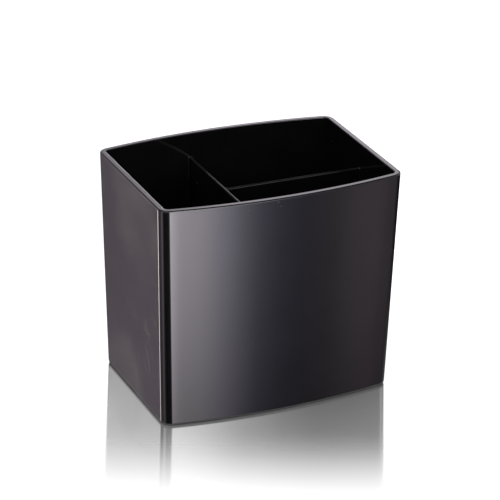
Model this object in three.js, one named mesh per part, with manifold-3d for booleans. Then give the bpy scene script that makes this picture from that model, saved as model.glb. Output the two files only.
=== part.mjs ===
// Three-compartment desk organizer (pencil cup) in black moulded plastic.
// Millimetres, +Z up, -Y is the front. The origin is on the desk, under the middle of the cup.

import * as THREE from 'three';
import { mergeVertices } from 'three/addons/utils/BufferGeometryUtils.js';
import Module from 'manifold-3d';

const wasm = await Module();
wasm.setup();

// ---------------------------------------------------------------- driving dimensions

// Cup, measured at the rim. The side walls are flat, and the front and back walls bow outwards.
const RIM_WIDTH = 120;
const SIDE_DEPTH = 78;
const BOW = 5.8;
const CORNER_RADIUS = 5;
const CUP_TOP = 109;
const DRAFT_SLOPE = Math.tan(THREE.MathUtils.degToRad(1.5));
const WALL = 2.8;
const FLOOR = 3.2;
const RIM_ROUND_OUTER = 0.7;
const RIM_ROUND_INNER = 0.3;
const BASE_ROUND = 0.8;
const CAVITY_FLOOR_ROUND = 2;
const SHARPEST_CORNER = 0.2;

// Round non-slip feet, each seated in a pocket in the cup's underside.
const FOOT_RADIUS = 5;
const FOOT_HEIGHT = 1.8;
const FOOT_EDGE_ROUND = 0.4;
const FOOT_X = 45;
const FOOT_Y = 29;
const CUP_BASE = 0.8;
const FOOT_PLACES = {
  foot_front_left: [-FOOT_X, -FOOT_Y],
  foot_front_right: [FOOT_X, -FOOT_Y],
  foot_back_left: [-FOOT_X, FOOT_Y],
  foot_back_right: [FOOT_X, FOOT_Y],
};

// Divider panels: one runs front to back, the other from it to the right wall. Their top edges are
// rounded over nearly their whole thickness.
const DIVIDER_TOP = CUP_TOP - 11.7;
const DIVIDER_THICKNESS_TOP = 1.5;
const DIVIDER_THICKNESS_BASE = 2.1;
const DIVIDER_EDGE_ROUND = 0.7;
const LONG_DIVIDER_X = -12;
const CROSS_DIVIDER_Y = 0;

// Pairs of guide ribs hold the divider panels' ends, and stop well below the panels' tops.
const RIB_WIDTH = 1.2;
const RIB_REACH = 2;
const RIB_TOP = 70;

// Seating gap between pieces that touch, and how far a joined rib is sunk into what carries it.
const GAP = 0.3;
const RIB_ROOT = 0.6;

// Colours and roughness of the black polystyrene and of the feet's rubber.
const PLASTIC_COLOUR = 0x0b0b0d;
const PLASTIC_ROUGHNESS = 0.22;
const RUBBER_COLOUR = 0x1a1a1b;
const RUBBER_ROUGHNESS = 0.85;

// Steps on each rounded stretch, and how close two points are when they are one vertex.
const CORNER_STEPS = 6;
const BOW_STEPS = 18;
const ROUND_STEPS = 3;
const FOOT_SIDES = 40;
const MERGE_DISTANCE = 1e-4;

// ---------------------------------------------------------------- derived sizes

const BOW_RADIUS = ((RIM_WIDTH / 2) ** 2 + BOW ** 2) / (2 * BOW);
const BOW_CENTRE_Y = BOW_RADIUS - SIDE_DEPTH / 2 - BOW;
const CAVITY_FLOOR = CUP_BASE + FLOOR;
const INNER_CORNER_RADIUS = CORNER_RADIUS - WALL;
const RIB_SPREAD = DIVIDER_THICKNESS_BASE / 2 + GAP + RIB_WIDTH / 2;

// ---------------------------------------------------------------- plan outline

// How far the drafted outer face has moved in from the rim at height z.
function draftInset(z) {
  return (CUP_TOP - z) * DRAFT_SLOPE;
}

// The cup's outline at height z, moved in by inset, counter-clockwise from the front-left corner.
function outlineRing(inset, cornerRadius, z) {
  const bowRadius = BOW_RADIUS - inset;
  const cornerX = RIM_WIDTH / 2 - inset - cornerRadius;
  const reach = bowRadius - cornerRadius;
  const cornerY = Math.sqrt(reach ** 2 - cornerX ** 2) - BOW_CENTRE_Y;
  const bowHalfAngle = Math.asin(cornerX / reach);

  const half = [];
  for (let i = 0; i <= CORNER_STEPS; i += 1) {
    const angle = Math.PI + (i / CORNER_STEPS) * (Math.PI / 2 - bowHalfAngle);
    const x = -cornerX + cornerRadius * Math.cos(angle);
    const y = -cornerY + cornerRadius * Math.sin(angle);
    half.push(new THREE.Vector3(x, y, z));
  }
  for (let i = 1; i < BOW_STEPS; i += 1) {
    const angle = -bowHalfAngle + (i / BOW_STEPS) * 2 * bowHalfAngle;
    const x = bowRadius * Math.sin(angle);
    const y = BOW_CENTRE_Y - bowRadius * Math.cos(angle);
    half.push(new THREE.Vector3(x, y, z));
  }
  for (let i = CORNER_STEPS; i >= 0; i -= 1) {
    half.push(new THREE.Vector3(-half[i].x, half[i].y, z));
  }
  const otherHalf = half.map((p) => new THREE.Vector3(-p.x, -p.y, z));
  return [...half, ...otherHalf];
}

// The same for the cavity's straight wall, and for its wall with the round above its floor.
function wallInset(z) {
  return draftInset(z) + WALL;
}

function roundedWallInset(z) {
  const intoRound = Math.max(CAVITY_FLOOR + CAVITY_FLOOR_ROUND - z, 0);
  const roundInset = CAVITY_FLOOR_ROUND - Math.sqrt(CAVITY_FLOOR_ROUND ** 2 - intoRound ** 2);
  return wallInset(z) + roundInset;
}

// Half the depth, on the line x, and half the width of the outline moved in by inset.
function halfDepth(x, inset) {
  return Math.sqrt((BOW_RADIUS - inset) ** 2 - x ** 2) - BOW_CENTRE_Y;
}

function halfWidth(inset) {
  return RIM_WIDTH / 2 - inset;
}

// ---------------------------------------------------------------- closed solids

// Skins a stack of rings with the same number of points, and closes the first and last with fans.
function loft(rings) {
  const size = rings[0].length;
  const points = rings.flat();
  const faces = [];
  for (let ring = 0; ring < rings.length - 1; ring += 1) {
    for (let i = 0; i < size; i += 1) {
      const next = (i + 1) % size;
      const low = ring * size;
      const high = low + size;
      faces.push(low + i, low + next, high + next);
      faces.push(low + i, high + next, high + i);
    }
  }
  for (const ring of [0, rings.length - 1]) {
    const centre = points.length;
    const sum = rings[ring].reduce((total, p) => total.add(p), new THREE.Vector3());
    points.push(sum.divideScalar(size));
    for (let i = 0; i < size; i += 1) {
      const here = ring * size + i;
      const next = ring * size + ((i + 1) % size);
      faces.push(...(ring === 0 ? [centre, next, here] : [here, next, centre]));
    }
  }
  const geometry = new THREE.BufferGeometry().setFromPoints(points);
  geometry.setIndex(faces);
  return geometry;
}

// A quarter circle as [turned, travelled] pairs. It starts along the travelled direction, and ends
// along the turned one.
function quarterRound(radius) {
  const pairs = [];
  for (let i = 0; i <= ROUND_STEPS; i += 1) {
    const angle = (i / ROUND_STEPS) * (Math.PI / 2);
    pairs.push([radius * (1 - Math.cos(angle)), radius * Math.sin(angle)]);
  }
  return pairs;
}

function solidFrom(geometry) {
  const bare = new THREE.BufferGeometry();
  bare.setAttribute('position', geometry.getAttribute('position'));
  bare.setIndex(geometry.getIndex());
  const merged = mergeVertices(bare, MERGE_DISTANCE);
  const mesh = new wasm.Mesh({
    numProp: 3,
    vertProperties: new Float32Array(merged.attributes.position.array),
    triVerts: new Uint32Array(merged.index.array),
  });
  return new wasm.Manifold(mesh);
}

function geometryFrom(solid) {
  const mesh = solid.getMesh();
  const geometry = new THREE.BufferGeometry();
  geometry.setAttribute('position', new THREE.BufferAttribute(mesh.vertProperties, 3));
  geometry.setIndex(new THREE.BufferAttribute(mesh.triVerts, 1));
  geometry.computeVertexNormals();
  return geometry;
}

// A leaning prism: the profile's [across, z] points, made width thick and centred on the plane
// through place. Its across direction is turned about Z to point along facing.
function leaningPrism(profile, width, place, facing) {
  const shape = new THREE.Shape(profile.map(([across, z]) => new THREE.Vector2(across, z)));
  const geometry = new THREE.ExtrudeGeometry(shape, { depth: width, bevelEnabled: false });
  geometry.translate(0, 0, -width / 2);
  geometry.rotateX(Math.PI / 2);
  geometry.rotateZ(facing);
  geometry.translate(place.x, place.y, 0);
  return solidFrom(geometry);
}

// ---------------------------------------------------------------- cup

// Both faces of the cup in one skin: up the outside, over the rim, and down into the cavity.
function cupBody() {
  const rings = [];
  const addRing = (depth, cornerRadius, z) => {
    rings.push(outlineRing(draftInset(z) + depth, cornerRadius, z));
  };
  for (const [rise, outward] of quarterRound(BASE_ROUND)) {
    const depth = BASE_ROUND - outward;
    addRing(depth, CORNER_RADIUS - depth, CUP_BASE + rise);
  }
  for (const [depth, rise] of quarterRound(RIM_ROUND_OUTER)) {
    addRing(depth, CORNER_RADIUS - depth, CUP_TOP - RIM_ROUND_OUTER + rise);
  }
  for (const [drop, inward] of quarterRound(RIM_ROUND_INNER)) {
    const depth = WALL - RIM_ROUND_INNER + inward;
    addRing(depth, CORNER_RADIUS - depth, CUP_TOP - drop);
  }
  for (const [inward, drop] of quarterRound(CAVITY_FLOOR_ROUND)) {
    const z = CAVITY_FLOOR + CAVITY_FLOOR_ROUND - drop;
    addRing(WALL + inward, Math.max(INNER_CORNER_RADIUS - inward, SHARPEST_CORNER), z);
  }
  return solidFrom(loft(rings));
}

// Two ribs, one each side of a divider's end, standing on a wall whose face is at faceAt(z).
function guideRibs(faceAt, place, facing) {
  const low = CAVITY_FLOOR - RIB_ROOT;
  const profile = [
    [faceAt(low) + RIB_ROOT, low],
    [faceAt(RIB_TOP) + RIB_ROOT, RIB_TOP],
    [faceAt(RIB_TOP) - RIB_REACH, RIB_TOP],
    [faceAt(low) - RIB_REACH, low],
  ];
  const sideways = new THREE.Vector2(-Math.sin(facing), Math.cos(facing));
  return [-RIB_SPREAD, RIB_SPREAD].map((offset) => {
    const centre = place.clone().addScaledVector(sideways, offset);
    return leaningPrism(profile, RIB_WIDTH, centre, facing);
  });
}

function footPocket(x, y) {
  const radius = FOOT_RADIUS + GAP;
  const top = FOOT_HEIGHT + GAP;
  const geometry = new THREE.CylinderGeometry(radius, radius, top, FOOT_SIDES);
  geometry.rotateX(Math.PI / 2);
  geometry.translate(x, y, top / 2);
  return solidFrom(geometry);
}

function cupShell() {
  let cup = cupBody();
  const longFace = (z) => halfDepth(LONG_DIVIDER_X - RIB_SPREAD, wallInset(z));
  const crossFace = (z) => halfWidth(wallInset(z));
  const longPlace = new THREE.Vector2(LONG_DIVIDER_X, 0);
  const crossPlace = new THREE.Vector2(0, CROSS_DIVIDER_Y);
  const ribs = [
    ...guideRibs(longFace, longPlace, Math.PI / 2),
    ...guideRibs(longFace, longPlace, -Math.PI / 2),
    ...guideRibs(crossFace, crossPlace, 0),
  ];
  for (const rib of ribs) {
    cup = cup.add(rib);
  }
  for (const [x, y] of Object.values(FOOT_PLACES)) {
    cup = cup.subtract(footPocket(x, y));
  }
  return geometryFrom(cup);
}

// ---------------------------------------------------------------- dividers

// Half a divider's thickness at height z.
function dividerHalf(z) {
  const up = (z - CAVITY_FLOOR) / (DIVIDER_TOP - CAVITY_FLOOR);
  return THREE.MathUtils.lerp(DIVIDER_THICKNESS_BASE, DIVIDER_THICKNESS_TOP, up) / 2;
}

// An upright panel, thicker at its base and rounded along its top edge. endsAt(z) gives where its
// two ends are at height z, and place(along, across, z) puts a point of it in the cup.
function panel(endsAt, place) {
  const low = CAVITY_FLOOR + GAP;
  const levels = [];
  for (let i = 0; i <= ROUND_STEPS; i += 1) {
    levels.push([THREE.MathUtils.lerp(low, CAVITY_FLOOR + CAVITY_FLOOR_ROUND, i / ROUND_STEPS), 0]);
  }
  for (const [inset, rise] of quarterRound(DIVIDER_EDGE_ROUND)) {
    levels.push([DIVIDER_TOP - DIVIDER_EDGE_ROUND + rise, inset]);
  }
  const rings = levels.map(([z, inset]) => {
    const side = dividerHalf(z) - inset;
    const [start, end] = endsAt(z);
    return [
      place(start, -side, z),
      place(end, -side, z),
      place(end, side, z),
      place(start, side, z),
    ];
  });
  return solidFrom(loft(rings));
}

function longDivider() {
  const edgeX = Math.abs(LONG_DIVIDER_X) + DIVIDER_THICKNESS_BASE / 2;
  const endsAt = (z) => {
    const end = halfDepth(edgeX, roundedWallInset(z)) - GAP;
    return [-end, end];
  };
  const place = (along, across, z) => new THREE.Vector3(LONG_DIVIDER_X - across, along, z);
  let divider = panel(endsAt, place);

  const ribFoot = CAVITY_FLOOR + CAVITY_FLOOR_ROUND;
  const profile = [
    [0, ribFoot],
    [0, RIB_TOP],
    [-DIVIDER_THICKNESS_BASE / 2 - RIB_REACH, RIB_TOP],
    [-DIVIDER_THICKNESS_BASE / 2 - RIB_REACH, ribFoot],
  ];
  for (const offset of [-RIB_SPREAD, RIB_SPREAD]) {
    const centre = new THREE.Vector2(LONG_DIVIDER_X, CROSS_DIVIDER_Y + offset);
    divider = divider.add(leaningPrism(profile, RIB_WIDTH, centre, Math.PI));
  }
  return geometryFrom(divider);
}

function crossDivider() {
  const endsAt = (z) => {
    const start = LONG_DIVIDER_X + dividerHalf(z) + GAP;
    return [start, halfWidth(roundedWallInset(z)) - GAP];
  };
  const place = (along, across, z) => new THREE.Vector3(along, CROSS_DIVIDER_Y + across, z);
  return geometryFrom(panel(endsAt, place));
}

// ---------------------------------------------------------------- feet

function footDisc() {
  const profile = [new THREE.Vector2(0, 0)];
  for (const [rise, outward] of quarterRound(FOOT_EDGE_ROUND)) {
    profile.push(new THREE.Vector2(FOOT_RADIUS - FOOT_EDGE_ROUND + outward, rise));
  }
  profile.push(new THREE.Vector2(FOOT_RADIUS, FOOT_HEIGHT));
  profile.push(new THREE.Vector2(0, FOOT_HEIGHT));
  const geometry = new THREE.LatheGeometry(profile, FOOT_SIDES);
  geometry.rotateX(Math.PI / 2);
  return geometry;
}

// ---------------------------------------------------------------- assembly

function nonMetal(color, roughness) {
  return new THREE.MeshStandardMaterial({ color, roughness, metalness: 0 });
}

function glossBlack() {
  return nonMetal(PLASTIC_COLOUR, PLASTIC_ROUGHNESS);
}

function footRubber() {
  return nonMetal(RUBBER_COLOUR, RUBBER_ROUGHNESS);
}

function named(name, geometry, material) {
  const mesh = new THREE.Mesh(geometry, material);
  mesh.name = name;
  return mesh;
}

const dividers = new THREE.Group();
dividers.add(named('long_divider', longDivider(), glossBlack()));
dividers.add(named('cross_divider', crossDivider(), glossBlack()));

const feet = new THREE.Group();
for (const [name, [x, y]] of Object.entries(FOOT_PLACES)) {
  const foot = named(name, footDisc(), footRubber());
  foot.position.set(x, y, 0);
  feet.add(foot);
}

const organizer = new THREE.Group();
organizer.add(named('cup_shell', cupShell(), glossBlack()));
organizer.add(dividers);
organizer.add(feet);

export default organizer;
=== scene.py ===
"""Visual model of the desk organizer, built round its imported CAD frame.

Metres, +Z up, -Y is the front.
"""

import math

import bmesh
import bpy
from mathutils import Matrix, Vector


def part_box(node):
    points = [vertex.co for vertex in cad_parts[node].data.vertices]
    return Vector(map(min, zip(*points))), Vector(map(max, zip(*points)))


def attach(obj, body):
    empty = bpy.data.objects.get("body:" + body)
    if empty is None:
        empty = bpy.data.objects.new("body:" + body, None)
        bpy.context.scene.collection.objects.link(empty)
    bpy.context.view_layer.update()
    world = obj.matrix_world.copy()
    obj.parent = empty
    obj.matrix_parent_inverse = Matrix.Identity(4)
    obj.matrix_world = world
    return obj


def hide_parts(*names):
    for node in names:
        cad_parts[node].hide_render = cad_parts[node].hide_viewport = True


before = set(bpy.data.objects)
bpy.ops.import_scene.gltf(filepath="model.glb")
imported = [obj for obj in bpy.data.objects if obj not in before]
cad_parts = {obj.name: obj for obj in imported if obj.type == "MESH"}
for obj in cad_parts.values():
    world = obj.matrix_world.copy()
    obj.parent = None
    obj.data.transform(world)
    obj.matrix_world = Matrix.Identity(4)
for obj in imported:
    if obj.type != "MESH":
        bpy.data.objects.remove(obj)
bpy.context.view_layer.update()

MM = 0.001

# ---------------------------------------------------------------- sizes from the frame

SHELL_LOW, SHELL_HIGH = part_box("cup_shell")
LONG_LOW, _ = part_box("long_divider")
CROSS_LOW, CROSS_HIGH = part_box("cross_divider")

# The cup's own details, which its box can't tell. BOW is how far the front and back walls bulge.
BOW = 5.8 * MM
CORNER_RADIUS = 5.0 * MM
WALL = 2.8 * MM
FLOOR_THICKNESS = 3.2 * MM
DRAFT_SLOPE = math.tan(math.radians(1.5))
RIM_ROUND_OUTER = 0.7 * MM
RIM_ROUND_INNER = 0.35 * MM
BASE_ROUND = 0.5 * MM
CAVITY_ROUND = 2.0 * MM
SHARPEST_CORNER = 0.2 * MM

HALF_WIDTH = SHELL_HIGH.x
HALF_DEPTH = SHELL_HIGH.y
WIDEST_Z = SHELL_HIGH.z - RIM_ROUND_OUTER
CAVITY_FLOOR = SHELL_LOW.z + FLOOR_THICKNESS
BOW_RADIUS = (HALF_WIDTH**2 + BOW**2) / (2 * BOW)
BOW_CENTRE = BOW_RADIUS - HALF_DEPTH

# Divider panels and the ribs that guide them.
PANEL_BASE = CROSS_HIGH.y - CROSS_LOW.y
PANEL_TOP = 1.5 * MM
PANEL_ROUND = 0.74 * MM
PANEL_FLARE = 0.5 * MM
SEAM = 0.03 * MM
SEATING_GAP = 0.3 * MM
LONG_X = LONG_LOW.x + PANEL_BASE / 2
CROSS_Y = (CROSS_LOW.y + CROSS_HIGH.y) / 2
RIB_WIDTH = 1.2 * MM
RIB_REACH = 2.0 * MM
RIB_TOP = 70.0 * MM
RIB_ROUND = 0.25 * MM
RIB_SPREAD = PANEL_BASE / 2 + SEATING_GAP + RIB_WIDTH / 2
RIB_ROOT = 1.0 * MM
CROSS_FLARE_START = 0.35 * MM

# The underside, the cavity's floor and the feet.
POCKET_LEAD = 0.3 * MM
DISH_RADIUS = 4.0 * MM
DISH_DEPTH = 0.4 * MM
EJECTOR_RADIUS = 3.0 * MM
EJECTOR_BEVEL = 0.05 * MM
EJECTOR_PROUD = 0.06 * MM
EJECTOR_ROOT = 0.5 * MM
EJECTOR_Y_LEFT = 22 * MM
EJECTOR_Y_RIGHT = 20 * MM
FOOT_ROUND = 0.4 * MM
GROOVE_RADII = (1.2 * MM, 2.2 * MM, 3.2 * MM)
GROOVE_DEPTH = 0.12 * MM
GROOVE_SLOPE = 0.12 * MM
GROOVE_WIDTH = 0.44 * MM

# Steps on each rounded stretch, and sides of each round piece.
CORNER_STEPS = 28
BOW_STEPS = 72
ROUND_STEPS = 8
FLARE_STEPS = 5
PANEL_FOOT_STEPS = 6
PANEL_WALL_STEPS = 12
BEVEL_SEGMENTS = 3
POCKET_SIDES = 64
GATE_SIDES = 32
EJECTOR_SIDES = 48
FOOT_SIDES = 72

# Angles between faces, in degrees: above them an edge is bevelled, or stays sharp in the shading.
BEVEL_ANGLE = 40
SHARP_ANGLE = 35
# Above 50, large faces count for more in the shading of their corners.
FACE_AREA_WEIGHT = 80


# ---------------------------------------------------------------- mesh helpers

def draft_inset(z):
    """How far the outer wall at height z is in from the widest outline."""
    return (WIDEST_Z - z) * DRAFT_SLOPE


def outline(inset, corner_radius):
    """The cup's plan outline moved in by inset, counter-clockwise from the front-left corner."""
    bow_radius = BOW_RADIUS - inset
    corner_x = HALF_WIDTH - inset - corner_radius
    reach = bow_radius - corner_radius
    corner_y = math.sqrt(reach**2 - corner_x**2) - BOW_CENTRE
    half_angle = math.asin(corner_x / reach)
    corner = []
    for i in range(CORNER_STEPS + 1):
        angle = math.pi + i / CORNER_STEPS * (math.pi / 2 - half_angle)
        x = -corner_x + corner_radius * math.cos(angle)
        y = -corner_y + corner_radius * math.sin(angle)
        corner.append((x, y))
    bow = []
    for i in range(1, BOW_STEPS):
        angle = -half_angle + i / BOW_STEPS * 2 * half_angle
        bow.append((bow_radius * math.sin(angle), BOW_CENTRE - bow_radius * math.cos(angle)))
    front = corner + bow + [(-x, y) for x, y in reversed(corner)]
    return front + [(-x, -y) for x, y in front]


def quarter_round(radius, steps=ROUND_STEPS):
    """A quarter circle as (turned, travelled) pairs, starting along the travelled direction."""
    angles = [i / steps * math.pi / 2 for i in range(steps + 1)]
    return [(radius * (1 - math.cos(a)), radius * math.sin(a)) for a in angles]


def loft(rings):
    """A closed bmesh through rings of (x, y, z) points, with flat caps."""
    bm = bmesh.new()
    made = [[bm.verts.new(p) for p in ring] for ring in rings]
    for low, high in zip(made, made[1:]):
        for i in range(len(low)):
            j = (i + 1) % len(low)
            bm.faces.new((low[i], low[j], high[j], high[i]))
    bm.faces.new(tuple(reversed(made[0])))
    bm.faces.new(tuple(made[-1]))
    return bm


def mesh_object(name, bm):
    """An object in the scene made from a bmesh, which it frees."""
    mesh = bpy.data.meshes.new(name)
    bm.to_mesh(mesh)
    bm.free()
    piece = bpy.data.objects.new(name, mesh)
    bpy.context.scene.collection.objects.link(piece)
    return piece


def apply_modifiers(piece):
    """Turns what a piece's modifiers give into its mesh."""
    graph = bpy.context.evaluated_depsgraph_get()
    baked = bpy.data.meshes.new_from_object(piece.evaluated_get(graph))
    piece.modifiers.clear()
    old = piece.data
    piece.data = baked
    bpy.data.meshes.remove(old)


def combine(piece, other, operation):
    """Joins other to piece or cuts it away, and removes it."""
    modifier = piece.modifiers.new("combine", "BOOLEAN")
    modifier.operation = operation
    modifier.object = other
    modifier.solver = "EXACT"
    apply_modifiers(piece)
    mesh = other.data
    bpy.data.objects.remove(other)
    bpy.data.meshes.remove(mesh)


def round_edges(piece, width):
    """Rounds a piece's real edges."""
    modifier = piece.modifiers.new("round", "BEVEL")
    modifier.width = width
    modifier.segments = BEVEL_SEGMENTS
    modifier.limit_method = "ANGLE"
    modifier.angle_limit = math.radians(BEVEL_ANGLE)
    apply_modifiers(piece)


def smooth(piece):
    """Smooth shading that keeps flat faces flat and real edges sharp."""
    mesh = piece.data
    mesh.shade_smooth()
    mesh.set_sharp_from_angle(angle=math.radians(SHARP_ANGLE))
    modifier = piece.modifiers.new("weighted_normals", "WEIGHTED_NORMAL")
    modifier.keep_sharp = True
    modifier.weight = FACE_AREA_WEIGHT
    apply_modifiers(piece)


def finish_piece(piece, material, slot, *nodes):
    """Paints a piece, and hands it to the frame in place of its CAD nodes."""
    piece.data.materials.clear()
    piece.data.materials.append(material)
    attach(piece, "root")
    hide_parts(*nodes)


# ---------------------------------------------------------------- node helpers

class Nodes:
    """A short way to write a material's node tree."""

    def __init__(self, tree):
        self.tree = tree
        self.tree.nodes.clear()

    def add(self, kind, inputs=None, **settings):
        """A new node, with each input linked to a socket or set to a value."""
        node = self.tree.nodes.new(kind)
        for name, value in settings.items():
            setattr(node, name, value)
        for key, value in (inputs or {}).items():
            if isinstance(value, bpy.types.NodeSocket):
                self.tree.links.new(value, node.inputs[key])
            else:
                node.inputs[key].default_value = value
        return node

    def math(self, operation, a, b=0.0, c=0.0, clamp=False):
        """A sum on sockets or numbers."""
        node = self.add("ShaderNodeMath", {0: a, 1: b, 2: c}, operation=operation)
        node.use_clamp = clamp
        return node.outputs[0]

    def noise(self, position, scale, detail, distortion=0.0):
        """Clouds of 0 to 1, about 1 / scale metres across."""
        inputs = {"Vector": position, "Scale": scale, "Detail": detail, "Distortion": distortion}
        return self.add("ShaderNodeTexNoise", inputs).outputs["Fac"]

    def bump(self, height, strength, distance):
        """A surface's relief, from its height in units of distance."""
        return self.add("ShaderNodeBump", {"Height": height, "Strength": strength, "Distance": distance})

    def principled(self, tone, rough, bump, ior):
        """Ends a material's tree in a non-metallic surface."""
        shader = self.add(
            "ShaderNodeBsdfPrincipled",
            {
                "Base Color": tone,
                "Roughness": rough,
                "Normal": bump.outputs[0],
                "IOR": ior,
                "Metallic": 0.0,
            },
        )
        self.add("ShaderNodeOutputMaterial", {"Surface": shader.outputs[0]})

    def ramp(self, value, low, high, start=0.0, end=1.0):
        """value from low..high mapped smoothly to start..end."""
        node = self.add(
            "ShaderNodeMapRange",
            {"Value": value, "From Min": low, "From Max": high, "To Min": start, "To Max": end},
            interpolation_type="SMOOTHSTEP",
        )
        return node.outputs[0]

    def mix(self, factor, a, b):
        """Colour a blended into colour b by factor."""
        node = self.add("ShaderNodeMix", data_type="RGBA")
        for key, value in (("Factor", factor), ("A", a), ("B", b)):
            sockets = [s for s in node.inputs if s.name == key and s.enabled]
            if isinstance(value, bpy.types.NodeSocket):
                self.tree.links.new(value, sockets[0])
            else:
                sockets[0].default_value = value
        return [s for s in node.outputs if s.enabled][0]


def new_material(name):
    """A material with an empty node tree, and the means to fill it."""
    material = bpy.data.materials.new(name)
    material.use_nodes = True
    return material, Nodes(material.node_tree)


# ---------------------------------------------------------------- materials

EDGE_SAMPLES = 6


def edge_mask(n, radius):
    """1 on edges sharper than radius, 0 on flat and gently curved faces."""
    flat, sharp = 0.995, 0.90
    bevel = n.add("ShaderNodeBevel", {"Radius": radius}, samples=EDGE_SAMPLES)
    true_normal = n.add("ShaderNodeNewGeometry").outputs["Normal"]
    agreement = n.add(
        "ShaderNodeVectorMath",
        {0: bevel.outputs[0], 1: true_normal},
        operation="DOT_PRODUCT",
    )
    return n.ramp(agreement.outputs["Value"], flat, sharp)


def scratches(n, position, spacing, width, angle):
    """Thin broken lines, about spacing apart, in a pattern turned by angle."""
    bends_per_metre = 14.0
    bend = 12.0 * MM
    breaks_per_metre = 60.0
    broken, whole = 0.56, 0.66
    turned = n.add("ShaderNodeMapping", {"Vector": position, "Rotation": angle})
    warp = n.add(
        "ShaderNodeTexNoise",
        {"Vector": turned.outputs[0], "Scale": bends_per_metre, "Detail": 2.0},
    )
    bent = n.add(
        "ShaderNodeVectorMath",
        {0: warp.outputs["Color"], 1: (bend, bend, bend), 2: turned.outputs[0]},
        operation="MULTIPLY_ADD",
    )
    cells = n.add(
        "ShaderNodeTexVoronoi",
        {"Vector": bent.outputs[0], "Scale": 1 / spacing},
        feature="DISTANCE_TO_EDGE",
    )
    line = n.ramp(cells.outputs["Distance"], width / spacing, 0.0)
    gaps = n.add(
        "ShaderNodeTexNoise",
        {"Vector": turned.outputs[0], "Scale": breaks_per_metre, "Detail": 1.0},
    )
    return n.math("MULTIPLY", line, n.ramp(gaps.outputs["Fac"], broken, whole))


# The plastic's marks: how many there are to a metre, what each adds to its roughness, and its relief
# in units of PLASTIC_RELIEF. A pattern shows not at all at its first value and fully at its second.
HAZE_PER_METRE = 45.0
SMUDGES_PER_METRE = 16.0
PEEL_PER_METRE = 900.0
SAG_PER_METRE = 22.0
GRIT_PER_METRE = 220.0
DUSTY_PLACES_PER_METRE = 75.0
HAZE_SHOWS = (0.3, 0.7)
SMUDGES_SHOW = (0.42, 0.72)
WEAR_SHOWS = (0.45, 0.62)
SPECKS_SHOW = (0.055, 0.02)
DUSTY_PLACES_SHOW = (0.60, 0.64)
WORN_EDGE = 0.5 * MM
SMUDGE_ROUGHNESS = 0.045
HAZE_ROUGHNESS = 0.03
SCRATCH_ROUGHNESS = 0.16
WORN_ROUGHNESS = 0.05
SPECK_ROUGHNESS = 0.4
PEEL_HEIGHT = 0.25
SAG_HEIGHT = 4.0
SCRATCH_HEIGHT = -1.4
SPECK_HEIGHT = 3.0
PLASTIC_RELIEF = 0.004 * MM
PLASTIC_BUMP = 0.35
PLASTIC_IOR = 1.57
SHELL_ROUGHNESS = 0.055
DIVIDER_ROUGHNESS = 0.08

# Two sets of scratches: their spacing, their width and the angles that turn them.
SCRATCHES_A = (9 * MM, 0.05 * MM, (0.2, 0.5, 0.3))
SCRATCHES_B = (14 * MM, 0.04 * MM, (0.9, 0.1, 1.2))

BLACK = (0.0022, 0.0021, 0.0023, 1)
HAZE_LIGHTENS = 1.5
WORN_TONE = (0.035, 0.034, 0.037, 1)
WORN_SHARE = 0.25
SPECK_TONE = (0.22, 0.21, 0.2, 1)
SPECK_SHARE = 0.6


def moulded_plastic(name, colour, roughness):
    """Glossy black injection-moulded polystyrene, lightly handled."""
    material, n = new_material(name)
    position = n.add("ShaderNodeTexCoord").outputs["Object"]

    haze = n.noise(position, HAZE_PER_METRE, 4.0)
    smudges = n.noise(position, SMUDGES_PER_METRE, 6.0, 0.8)
    peel = n.noise(position, PEEL_PER_METRE, 2.0)
    sag = n.noise(position, SAG_PER_METRE, 1.0)
    grit = n.add(
        "ShaderNodeTexVoronoi",
        {"Vector": position, "Scale": GRIT_PER_METRE, "Randomness": 1.0},
    )
    dusty_places = n.noise(position, DUSTY_PLACES_PER_METRE, 0.0)

    scratches_a = scratches(n, position, *SCRATCHES_A)
    scratches_b = scratches(n, position, *SCRATCHES_B)
    scratch = n.math("MAXIMUM", scratches_a, scratches_b)
    worn = n.math("MULTIPLY", edge_mask(n, WORN_EDGE), n.ramp(haze, *WEAR_SHOWS))
    speck = n.math(
        "MULTIPLY",
        n.ramp(grit.outputs["Distance"], *SPECKS_SHOW),
        n.ramp(dusty_places, *DUSTY_PLACES_SHOW),
    )

    smudge = n.ramp(smudges, *SMUDGES_SHOW)
    rough = n.math("MULTIPLY_ADD", smudge, SMUDGE_ROUGHNESS, roughness)
    rough = n.math("MULTIPLY_ADD", haze, HAZE_ROUGHNESS, rough)
    rough = n.math("MULTIPLY_ADD", scratch, SCRATCH_ROUGHNESS, rough)
    rough = n.math("MULTIPLY_ADD", worn, WORN_ROUGHNESS, rough)
    rough = n.math("MULTIPLY_ADD", speck, SPECK_ROUGHNESS, rough, clamp=True)

    hazy_colour = tuple(c * HAZE_LIGHTENS for c in colour[:3]) + (1,)
    tone = n.mix(n.ramp(haze, *HAZE_SHOWS), colour, hazy_colour)
    tone = n.mix(n.math("MULTIPLY", worn, WORN_SHARE), tone, WORN_TONE)
    tone = n.mix(n.math("MULTIPLY", speck, SPECK_SHARE), tone, SPECK_TONE)

    height = n.math("MULTIPLY", peel, PEEL_HEIGHT)
    height = n.math("MULTIPLY_ADD", sag, SAG_HEIGHT, height)
    height = n.math("MULTIPLY_ADD", scratch, SCRATCH_HEIGHT, height)
    height = n.math("MULTIPLY_ADD", speck, SPECK_HEIGHT, height)
    bump = n.bump(height, PLASTIC_BUMP, PLASTIC_RELIEF)

    n.principled(tone, rough, bump, PLASTIC_IOR)
    return material


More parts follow.
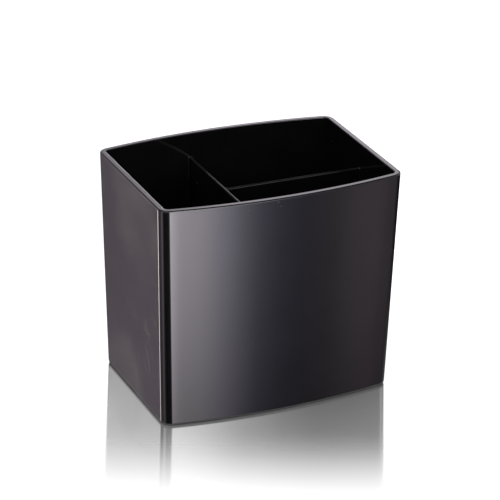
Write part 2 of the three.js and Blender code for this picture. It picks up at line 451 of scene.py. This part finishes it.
RUBBER_GRAIN_PER_METRE = 2600.0
RUBBER_PATCHES_PER_METRE = 300.0
RUBBER_RELIEF = 0.03 * MM
RUBBER_BUMP = 0.5
RUBBER_IOR = 1.5
RUBBER_ROUGHNESS = 0.62
RUBBER_PATCH_ROUGHNESS = 0.2
RUBBER_DARK = (0.016, 0.016, 0.017, 1)
RUBBER_LIGHT = (0.028, 0.028, 0.029, 1)
RUBBER_DUST = (0.12, 0.115, 0.11, 1)
RUBBER_DUST_SHOWS = (0.4, 0.65)
RUBBER_DUST_SHARE = 0.5
DUSTY_EDGE = 0.3 * MM


def foot_rubber(name):
    """Dull black elastomer with a fine skin texture and a dusty edge."""
    material, n = new_material(name)
    position = n.add("ShaderNodeTexCoord").outputs["Object"]
    grain = n.noise(position, RUBBER_GRAIN_PER_METRE, 3.0)
    patches = n.noise(position, RUBBER_PATCHES_PER_METRE, 3.0)
    dusty = n.math("MULTIPLY", edge_mask(n, DUSTY_EDGE), n.ramp(patches, *RUBBER_DUST_SHOWS))
    tone = n.mix(patches, RUBBER_DARK, RUBBER_LIGHT)
    tone = n.mix(n.math("MULTIPLY", dusty, RUBBER_DUST_SHARE), tone, RUBBER_DUST)
    rough = n.math("MULTIPLY_ADD", patches, RUBBER_PATCH_ROUGHNESS, RUBBER_ROUGHNESS)
    bump = n.bump(grain, RUBBER_BUMP, RUBBER_RELIEF)
    n.principled(tone, rough, bump, RUBBER_IOR)
    return material


# ---------------------------------------------------------------- cup

def cup_body():
    """The cup's skin: up the outside, over the rim and down into the cavity."""
    rings = []

    def add_ring(depth, corner_radius, z):
        rings.append([(x, y, z) for x, y in outline(draft_inset(z) + depth, corner_radius)])

    for rise, outward in quarter_round(BASE_ROUND):
        depth = BASE_ROUND - outward
        add_ring(depth, CORNER_RADIUS - depth, SHELL_LOW.z + rise)
    for depth, rise in quarter_round(RIM_ROUND_OUTER):
        add_ring(depth, CORNER_RADIUS - depth, WIDEST_Z + rise)
    for drop, inward in quarter_round(RIM_ROUND_INNER):
        depth = WALL - RIM_ROUND_INNER + inward
        add_ring(depth, CORNER_RADIUS - depth, SHELL_HIGH.z - drop)
    inner_corner = CORNER_RADIUS - WALL
    for inward, drop in quarter_round(CAVITY_ROUND):
        z = CAVITY_FLOOR + CAVITY_ROUND - drop
        add_ring(WALL + inward, max(inner_corner - inward, SHARPEST_CORNER), z)
    return mesh_object("cup_body", loft(rings))


def wall_half_depth(x, z, extra=0.0):
    """Half the cavity's depth on the line x at height z, less extra."""
    return math.sqrt((BOW_RADIUS - WALL - draft_inset(z) - extra) ** 2 - x**2) - BOW_CENTRE


def wall_half_width(z, extra=0.0):
    """Half the cavity's width at height z, less extra."""
    return HALF_WIDTH - WALL - draft_inset(z) - extra


def floor_round_inset(z):
    """How far the round above the cavity's floor has come in at height z."""
    into = min(max(CAVITY_FLOOR + CAVITY_ROUND - z, 0.0), CAVITY_ROUND)
    return CAVITY_ROUND - math.sqrt(CAVITY_ROUND**2 - into**2)


def leaning_rib(profile, place, facing):
    """A rib RIB_WIDTH thick: its (across, z) profile stands on place and points along facing."""
    along = Vector((math.cos(facing), math.sin(facing), 0))
    side = Vector((-math.sin(facing), math.cos(facing), 0)) * RIB_WIDTH / 2
    origin = Vector((*place, 0))
    rings = []
    for offset in (-side, side):
        rings.append([origin + offset + along * across + Vector((0, 0, z)) for across, z in profile])
    bm = loft(rings)
    bmesh.ops.recalc_face_normals(bm, faces=bm.faces)
    rib = mesh_object("rib", bm)
    round_edges(rib, RIB_ROUND)
    return rib


def wall_ribs():
    """Pairs of guide ribs on the front, back and right walls."""
    ribs = []
    low = CAVITY_FLOOR - RIB_ROOT
    edge_x = abs(LONG_X) + RIB_SPREAD
    quarter = math.pi / 2
    for facing, face_at in (
        (quarter, lambda z: wall_half_depth(edge_x, z)),
        (-quarter, lambda z: wall_half_depth(edge_x, z)),
        (0.0, wall_half_width),
    ):
        profile = [
            (face_at(low) + RIB_ROOT, low),
            (face_at(RIB_TOP) + RIB_ROOT, RIB_TOP),
            (face_at(RIB_TOP) - RIB_REACH, RIB_TOP),
            (face_at(low) - RIB_REACH, low),
        ]
        for offset in (-RIB_SPREAD, RIB_SPREAD):
            place = (0.0, CROSS_Y + offset) if facing == 0.0 else (LONG_X + offset, 0.0)
            ribs.append(leaning_rib(profile, place, facing))
    return ribs


def disc(name, centre, profile, sides):
    """A closed round solid on a vertical axis through centre, from a (radius, z) profile."""
    rings = []
    for radius, z in profile:
        ring = []
        for i in range(sides):
            angle = i / sides * 2 * math.pi
            x = centre.x + radius * math.cos(angle)
            y = centre.y + radius * math.sin(angle)
            ring.append((x, y, z))
        rings.append(ring)
    return mesh_object(name, loft(rings))


FEET = [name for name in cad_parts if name.startswith("foot_")]


def foot_pocket(name):
    """The pocket that a foot is pressed into, with a lead-in round its mouth."""
    low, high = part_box(name)
    radius = (high.x - low.x) / 2 + SEATING_GAP
    top = high.z + SEATING_GAP
    profile = [
        (radius + POCKET_LEAD, SHELL_LOW.z - POCKET_LEAD),
        (radius + POCKET_LEAD, SHELL_LOW.z),
        (radius, SHELL_LOW.z + POCKET_LEAD),
        (radius, top),
    ]
    return disc("pocket", (low + high) / 2, profile, POCKET_SIDES)


def gate_dimple():
    """The shallow dish in the middle of the underside, where the plastic was injected."""
    low = SHELL_LOW.z
    profile = [
        (DISH_RADIUS + DISH_DEPTH, low - DISH_DEPTH),
        (DISH_RADIUS, low),
        (DISH_RADIUS - DISH_DEPTH, low + DISH_DEPTH),
    ]
    return disc("dimple", Vector((0, 0, 0)), profile, POCKET_SIDES)


def gate_vestige():
    """The broken-off stub of the moulding gate, left proud in its dish."""
    low = SHELL_LOW.z
    profile = [(0.9 * MM, low + 0.1 * MM), (1.1 * MM, low + 0.2 * MM), (1.5 * MM, low + 0.6 * MM)]
    return disc("vestige", Vector((0, 0, 0)), profile, GATE_SIDES)


def ejector_mark(x, y):
    """The faint raised disc that a round ejector pin leaves on the cavity's floor."""
    profile = [
        (EJECTOR_RADIUS, CAVITY_FLOOR - EJECTOR_ROOT),
        (EJECTOR_RADIUS, CAVITY_FLOOR + EJECTOR_PROUD / 2),
        (EJECTOR_RADIUS - EJECTOR_BEVEL, CAVITY_FLOOR + EJECTOR_PROUD),
    ]
    return disc("ejector", Vector((x, y, 0)), profile, EJECTOR_SIDES)


def make_cup(material):
    """The cup as one moulding: skin, ribs, foot pockets, and the marks of gate and ejectors."""
    cup = cup_body()
    for rib in wall_ribs():
        combine(cup, rib, "UNION")
    for name in FEET:
        combine(cup, foot_pocket(name), "DIFFERENCE")
    combine(cup, gate_dimple(), "DIFFERENCE")
    combine(cup, gate_vestige(), "UNION")
    left_x = (LONG_X - HALF_WIDTH) / 2
    right_x = (LONG_X + HALF_WIDTH) / 2
    for x, y in ((left_x, EJECTOR_Y_LEFT), (right_x, EJECTOR_Y_RIGHT)):
        combine(cup, ejector_mark(x, -y), "UNION")
        combine(cup, ejector_mark(x, y), "UNION")
    cup.name = cup.data.name = "cup_moulding"
    smooth(cup)
    finish_piece(cup, material, "shell_plastic", "cup_shell")


# ---------------------------------------------------------------- dividers

def panel_half(z):
    """Half a divider's thickness at height z."""
    up = (z - CAVITY_FLOOR) / (CROSS_HIGH.z - CAVITY_FLOOR)
    return (PANEL_BASE + (PANEL_TOP - PANEL_BASE) * up) / 2


def panel_ring(start, end, half, flare_start, flare_end):
    """A panel's (along, across) outline, flared into the walls by small cement fillets."""
    right = [(start, half + flare_start)]
    for turned, travelled in quarter_round(flare_start, FLARE_STEPS)[1:]:
        right.append((start + turned, half + flare_start - travelled))
    for turned, travelled in reversed(quarter_round(flare_end, FLARE_STEPS)[1:]):
        right.append((end - turned, half + flare_end - travelled))
    right.append((end, half + flare_end))
    return [(a, -c) for a, c in right] + list(reversed(right))


def make_panel(name, ends_at, place, flares):
    """An upright divider.

    ends_at(z) gives its two ends at height z, and place(along, across, z) puts a point in the cup.
    """
    low = CAVITY_FLOOR + SEATING_GAP
    round_top = CAVITY_FLOOR + CAVITY_ROUND
    straight_top = CROSS_HIGH.z - PANEL_ROUND
    levels = []
    for i in range(PANEL_FOOT_STEPS + 1):
        levels.append((low + i / PANEL_FOOT_STEPS * (round_top - low), 0.0))
    for i in range(1, PANEL_WALL_STEPS + 1):
        levels.append((round_top + i / PANEL_WALL_STEPS * (straight_top - round_top), 0.0))
    for inset, rise in quarter_round(PANEL_ROUND)[1:]:
        levels.append((straight_top + rise, inset))
    rings = []
    for z, inset in levels:
        start, end = ends_at(z)
        ring = panel_ring(start, end, panel_half(z) - inset, *flares)
        rings.append([place(along, across, z) for along, across in ring])
    bm = loft(rings)
    bmesh.ops.recalc_face_normals(bm, faces=bm.faces)
    return mesh_object(name, bm)


def make_long_divider(material):
    """The panel from the front wall to the back wall, with the ribs that hold the cross divider."""
    edge_x = abs(LONG_X) + PANEL_BASE / 2

    def ends_at(z):
        end = wall_half_depth(edge_x, z, floor_round_inset(z)) - SEAM
        return -end, end

    divider = make_panel(
        "long_divider_panel",
        ends_at,
        lambda along, across, z: (LONG_X - across, along, z),
        (PANEL_FLARE, PANEL_FLARE),
    )
    rib_foot = CAVITY_FLOOR + CAVITY_ROUND
    reach = -PANEL_BASE / 2 - RIB_REACH
    profile = [(0.0, rib_foot), (0.0, RIB_TOP), (reach, RIB_TOP), (reach, rib_foot)]
    for offset in (-RIB_SPREAD, RIB_SPREAD):
        combine(divider, leaning_rib(profile, (LONG_X, CROSS_Y + offset), math.pi), "UNION")
    smooth(divider)
    finish_piece(divider, material, "divider_plastic", "long_divider")


def make_cross_divider(material):
    """The panel from the long divider to the right wall."""

    def ends_at(z):
        start = LONG_X + panel_half(z) + SEAM
        return start, wall_half_width(z, floor_round_inset(z)) - SEAM

    divider = make_panel(
        "cross_divider_panel",
        ends_at,
        lambda along, across, z: (along, CROSS_Y + across, z),
        (CROSS_FLARE_START, PANEL_FLARE),
    )
    smooth(divider)
    finish_piece(divider, material, "divider_plastic", "cross_divider")


# ---------------------------------------------------------------- feet

def make_foot(name, material):
    """A round rubber pad with rounded edges and ring grooves in its tread."""
    low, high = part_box(name)
    centre = (low + high) / 2
    radius = (high.x - low.x) / 2
    profile = []
    for groove in GROOVE_RADII:
        profile += [
            (groove, low.z),
            (groove + GROOVE_SLOPE, low.z + GROOVE_DEPTH),
            (groove + GROOVE_WIDTH - GROOVE_SLOPE, low.z + GROOVE_DEPTH),
            (groove + GROOVE_WIDTH, low.z),
        ]
    for rise, outward in quarter_round(FOOT_ROUND):
        profile.append((radius - FOOT_ROUND + outward, low.z + rise))
    profile += [(radius, high.z - FOOT_ROUND / 2), (radius - FOOT_ROUND / 2, high.z)]
    foot = disc(name + "_pad", centre, profile, FOOT_SIDES)
    smooth(foot)
    finish_piece(foot, material, "foot_rubber", name)


# ---------------------------------------------------------------- stage

# The camera looks at this point. Angles are in degrees: azimuth from -Y towards -X.
CAMERA_AIM = Vector((1.18 * MM, 0.0, 63.84 * MM))
CAMERA_AZIMUTH = 24.43
CAMERA_ELEVATION = 24.52
CAMERA_ROLL = 1.08
CAMERA_DISTANCE = 1.2504
CAMERA_LENS = 192.07
CAMERA_SENSOR = 36.0
CAMERA_CLIP_START = 0.05

# The softbox over the table.
TABLE_LIGHT_SIZE = 2.4
TABLE_LIGHT_WATTS = 34.0
TABLE_LIGHT_PLACE = (-0.2, -0.2, 1.6)


def direction(azimuth, elevation):
    """Unit vector from the cup towards an azimuth, from -Y towards -X, and an elevation."""
    a = math.radians(azimuth)
    e = math.radians(elevation)
    return Vector((-math.sin(a) * math.cos(e), -math.cos(a) * math.cos(e), math.sin(e)))


def make_camera():
    """A long lens, looking down at the cup from the front left."""
    data = bpy.data.cameras.new("camera")
    data.lens = CAMERA_LENS
    data.sensor_width = CAMERA_SENSOR
    data.clip_start = CAMERA_CLIP_START
    camera = bpy.data.objects.new("camera", data)
    bpy.context.scene.collection.objects.link(camera)
    back = direction(CAMERA_AZIMUTH, CAMERA_ELEVATION)
    turn = (-back).to_track_quat("-Z", "Y").to_matrix().to_4x4()
    roll = Matrix.Rotation(math.radians(CAMERA_ROLL), 4, "Z")
    camera.matrix_world = Matrix.Translation(CAMERA_AIM + back * CAMERA_DISTANCE) @ turn @ roll
    bpy.context.scene.camera = camera


def make_table_light():
    """A large softbox overhead that whitens the table and leaves no glare on the plastic."""
    data = bpy.data.lights.new("table_light", "AREA")
    data.shape = "DISK"
    data.size = TABLE_LIGHT_SIZE
    data.energy = TABLE_LIGHT_WATTS
    light = bpy.data.objects.new("table_light", data)
    light.location = TABLE_LIGHT_PLACE
    light.visible_camera = False
    light.visible_glossy = False
    bpy.context.scene.collection.objects.link(light)


# The studio as the plastic sees it: (azimuth, radiance, tint) round the cup, one list for each band
# of elevation. A window straight in front lights it from the table up and fades out on both sides.
# Weaker lights stand at the sides and behind. It is dark over the window, and soft at the zenith.
NEUTRAL = (1.0, 1.0, 1.0)
MAUVE = (1.0, 0.86, 1.02)
PLUM = (1.0, 0.81, 0.95)
PALE = (1.0, 0.93, 1.02)
BLUISH = (1.0, 0.95, 1.13)
SKY = (1.0, 0.96, 1.25)
CREAM = (1.0, 0.91, 0.87)
TABLE_SIDE = [
    (-100, 0.0, NEUTRAL), (-84, 0.06, NEUTRAL), (-56, 0.32, MAUVE), (-51, 0.48, PLUM),
    (-48.4, 0.38, PLUM), (-45.5, 0.62, PLUM), (-40, 0.56, MAUVE), (-35, 0.38, MAUVE), (-29, 0.30, SKY),
    (-24.5, 0.44, SKY), (-20, 0.85, SKY), (-16.5, 1.72, BLUISH), (-13, 2.95, BLUISH),
    (-8.5, 4.75, PALE), (-3.3, 5.6, PALE), (-2.6, 9.0, PALE), (1, 8.0, PALE), (5, 1.2, BLUISH),
    (11, 0.32, BLUISH), (22, 0.08, NEUTRAL), (62, 0.03, NEUTRAL), (73, 0.15, MAUVE), (86, 1.4, MAUVE),
    (92, 1.4, MAUVE), (104, 0.42, MAUVE), (135, 0.27, MAUVE), (147, 0.5, CREAM), (149.5, 9.0, CREAM),
    (155.2, 9.0, CREAM), (156.2, 0.38, MAUVE), (160.1, 0.36, MAUVE), (166, 0.04, NEUTRAL),
]
UNDERFOOT = [
    (-180, 1.1, NEUTRAL), (-150, 0.7, NEUTRAL), (-120, 1.2, NEUTRAL), (-90, 0.8, NEUTRAL),
    (-62, 0.07, MAUVE), (-29, 0.04, SKY), (-20, 0.1, SKY), (-13, 0.35, BLUISH), (-3.3, 0.7, PALE),
    (1, 0.8, PALE), (5, 0.14, PALE), (14, 0.04, NEUTRAL), (62, 0.02, NEUTRAL), (86, 0.5, MAUVE),
    (104, 0.3, MAUVE), (135, 0.25, MAUVE), (156.4, 0.44, MAUVE), (160.1, 0.4, MAUVE),
    (166, 0.6, NEUTRAL), (180, 1.1, NEUTRAL),
]
LEVEL = [
    (-180, 0.8, NEUTRAL), (-163, 1.0, NEUTRAL), (-158, 0.1, NEUTRAL), (-148, 0.1, NEUTRAL),
    (-142, 0.8, NEUTRAL), (-110, 1.4, NEUTRAL), (-80, 1.0, NEUTRAL), (-50, 0.5, MAUVE), (-28, 0.4, SKY),
    (-16, 2.4, BLUISH), (-3, 5.0, PALE), (3, 4.0, PALE), (14, 0.6, NEUTRAL), (45, 0.5, NEUTRAL),
    (75, 1.2, NEUTRAL), (100, 0.9, MAUVE), (130, 0.5, MAUVE), (138, 1.0, MAUVE), (158, 1.0, MAUVE),
    (168, 0.4, NEUTRAL), (180, 0.8, NEUTRAL),
]
HORIZON = [
    (-180, 0.4, NEUTRAL), (-165, 0.4, NEUTRAL), (-160, 0.05, NEUTRAL), (-153.5, 0.05, NEUTRAL),
    (-152.5, 8.0, PALE), (-147, 8.0, PALE), (-146, 0.05, NEUTRAL), (-138, 0.05, NEUTRAL),
    (-132, 0.6, NEUTRAL), (-90, 0.9, NEUTRAL), (-50, 0.4, MAUVE), (-28, 0.4, SKY), (-16, 2.0, BLUISH),
    (-8, 3.5, PALE), (-3, 4.0, PALE), (3, 3.0, PALE), (12, 0.5, NEUTRAL), (60, 0.5, NEUTRAL),
    (85, 0.9, MAUVE), (105, 0.5, MAUVE), (130, 0.5, MAUVE), (138, 1.0, MAUVE), (158, 1.0, MAUVE),
    (166, 0.1, NEUTRAL), (180, 0.4, NEUTRAL),
]
ABOVE = [
    (-180, 0.8, NEUTRAL), (-160, 1.1, PALE), (-157.8, 1.2, PALE), (-156.4, 2.1, PALE),
    (-151, 1.8, PALE), (-148, 0.05, NEUTRAL), (-140, 0.05, NEUTRAL), (-134, 0.5, NEUTRAL),
    (-120, 1.2, NEUTRAL), (-60, 1.2, NEUTRAL), (-42, 0.5, NEUTRAL), (-28, 0.9, NEUTRAL),
    (-24, 1.6, NEUTRAL), (-16, 4.0, NEUTRAL), (-8, 7.0, NEUTRAL), (-3, 8.0, NEUTRAL), (2, 7.0, NEUTRAL),
    (12, 1.0, NEUTRAL), (60, 0.9, NEUTRAL), (85, 1.1, NEUTRAL), (105, 0.9, NEUTRAL),
    (120, 0.05, NEUTRAL), (170, 0.05, NEUTRAL), (180, 0.8, NEUTRAL),
]
HEAD_OF_WINDOW = [
    (-180, 0.3, NEUTRAL), (-172, 0.3, NEUTRAL), (-166, 1.3, NEUTRAL), (-145, 1.3, NEUTRAL),
    (-138, 0.8, NEUTRAL), (-80, 1.5, NEUTRAL), (-64, 6.0, NEUTRAL), (-50, 2.3, NEUTRAL),
    (-38, 1.8, NEUTRAL), (-32, 1.7, NEUTRAL), (-24, 3.2, NEUTRAL), (-16, 5.6, NEUTRAL),
    (-8, 10.8, NEUTRAL), (-3, 13.3, NEUTRAL), (3, 10.8, NEUTRAL), (14, 2.0, NEUTRAL),
    (60, 1.0, NEUTRAL), (76, 5.0, NEUTRAL), (88, 5.0, NEUTRAL), (105, 0.5, NEUTRAL),
    (148, 0.1, NEUTRAL), (154.5, 2.3, NEUTRAL), (159.4, 2.3, NEUTRAL), (160.4, 0.05, NEUTRAL),
    (180, 0.3, NEUTRAL),
]
OVERHEAD = [
    (-180, 0.02, NEUTRAL), (180, 0.02, NEUTRAL),
]
ZENITH = [
    (-180, 1.4, NEUTRAL), (-160, 1.2, NEUTRAL), (-140, 0.1, NEUTRAL), (-50, 0.1, NEUTRAL),
    (-30, 0.8, NEUTRAL), (0, 1.4, NEUTRAL), (90, 1.2, NEUTRAL), (180, 1.4, NEUTRAL),
]
# Each band fades in between two elevations, over the one before it.
BANDS = [
    (-34.5, -25.5, TABLE_SIDE),
    (-21.0, -18.0, LEVEL),
    (-14.0, -9.0, HORIZON),
    (5.0, 15.0, ABOVE),
    (23.8, 26.0, HEAD_OF_WINDOW),
    (28.5, 31.0, OVERHEAD),
    (58.0, 66.0, ZENITH),
]
BRIGHTEST = 16.0


def panorama(n, turn, stops):
    """Colour by azimuth through the stops."""
    ramp = n.add("ShaderNodeValToRGB", {0: turn})
    elements = ramp.color_ramp.elements
    while len(elements) < len(stops):
        elements.new(0.5)
    for element, (azimuth, radiance, tint) in zip(elements, stops):
        element.position = (azimuth + 180) / 360
        element.color = tuple(radiance * t / BRIGHTEST for t in tint) + (1,)
    return ramp.outputs[0]


def make_world():
    """The painted light all round, as one panorama by azimuth and elevation."""
    world = bpy.data.worlds.new("studio")
    bpy.context.scene.world = world
    world.use_nodes = True
    n = Nodes(world.node_tree)
    towards = n.add("ShaderNodeTexCoord").outputs["Generated"]
    x, y, z = n.add("ShaderNodeSeparateXYZ", {0: towards}).outputs
    azimuth = n.math("ARCTAN2", n.math("MULTIPLY", x, -1.0), n.math("MULTIPLY", y, -1.0))
    turn = n.math("MULTIPLY_ADD", azimuth, 0.5 / math.pi, 0.5)
    elevation = n.math("MULTIPLY", n.math("ARCSINE", z), 180 / math.pi)
    light = panorama(n, turn, UNDERFOOT)
    for fades_from, fades_to, stops in BANDS:
        light = n.mix(n.ramp(elevation, fades_from, fades_to), light, panorama(n, turn, stops))
    background = n.add("ShaderNodeBackground", {"Color": light, "Strength": BRIGHTEST})
    n.add("ShaderNodeOutputWorld", {0: background.outputs[0]})


# How far towards the camera from the cup's middle the table's mirror image starts and stops fading, and
# how far beyond the cup's sides it reaches.
MIRROR_FADES_FROM = 54.0 * MM
MIRROR_FADES_TO = 147.0 * MM
MIRROR_REACH = 85.0 * MM
# The mirror's share, which grows as the view grows more grazing, from the first value to the second.
MIRROR_SHARE = 0.985
MIRROR_SHOWS = (0.25, 0.6)
MIRROR_COLOUR = (0.95, 0.95, 0.95, 1)
MIRROR_ROUGHNESS = 0.06
MIRROR_GRAIN_ROUGHNESS = 0.03
MIRROR_GRAIN_PER_METRE = 900.0
TABLE_WHITE = (0.93, 0.93, 0.93, 1)
TABLE_HALF = 3.0
TABLE_CELLS = 8
TABLE_DROP = 0.02 * MM


def make_floor():
    """A white table top that mirrors the cup near it and fades to plain white in front."""
    bm = bmesh.new()
    bmesh.ops.create_grid(bm, x_segments=TABLE_CELLS, y_segments=TABLE_CELLS, size=TABLE_HALF)
    floor = mesh_object("floor", bm)
    floor.location.z = -TABLE_DROP
    floor.visible_glossy = False
    material, n = new_material("white_table")
    position = n.add("ShaderNodeTexCoord").outputs["Object"]
    towards = direction(CAMERA_AZIMUTH, 0.0)
    ahead = n.add(
        "ShaderNodeVectorMath",
        {0: position, 1: towards},
        operation="DOT_PRODUCT",
    )
    sides = n.add("ShaderNodeSeparateXYZ", {0: position}).outputs
    beyond_x = n.math("SUBTRACT", n.math("ABSOLUTE", sides["X"]), HALF_WIDTH)
    beyond_y = n.math("SUBTRACT", n.math("ABSOLUTE", sides["Y"]), HALF_DEPTH)
    beyond = n.math("MAXIMUM", beyond_x, beyond_y)
    near = n.math(
        "MULTIPLY",
        n.ramp(ahead.outputs["Value"], MIRROR_FADES_FROM, MIRROR_FADES_TO, 1.0, 0.0),
        n.ramp(beyond, MIRROR_REACH, 2 * MIRROR_REACH, 1.0, 0.0),
    )
    facing = n.add("ShaderNodeLayerWeight", {"Blend": 0.5}).outputs["Facing"]
    grazing = n.ramp(facing, *MIRROR_SHOWS)
    gloss = n.math("MULTIPLY", grazing, n.math("MULTIPLY", near, MIRROR_SHARE))
    grain = n.noise(position, MIRROR_GRAIN_PER_METRE, 2.0)
    rough = n.math("MULTIPLY_ADD", grain, MIRROR_GRAIN_ROUGHNESS, MIRROR_ROUGHNESS)
    white = n.add("ShaderNodeBsdfDiffuse", {"Color": TABLE_WHITE})
    mirror = n.add("ShaderNodeBsdfAnisotropic", {"Color": MIRROR_COLOUR, "Roughness": rough})
    surface = n.add("ShaderNodeMixShader", {0: gloss, 1: white.outputs[0], 2: mirror.outputs[0]})
    n.add("ShaderNodeOutputMaterial", {"Surface": surface.outputs[0]})
    floor.data.materials.append(material)


# ---------------------------------------------------------------- scene

bpy.context.scene.view_settings.view_transform = "Standard"

shell_plastic = moulded_plastic("shell_plastic", BLACK, SHELL_ROUGHNESS)
divider_plastic = moulded_plastic("divider_plastic", BLACK, DIVIDER_ROUGHNESS)
rubber = foot_rubber("foot_rubber")

make_cup(shell_plastic)
make_long_divider(divider_plastic)
make_cross_divider(divider_plastic)
for foot_name in FEET:
    make_foot(foot_name, rubber)

make_camera()
make_table_light()
make_world()
make_floor()
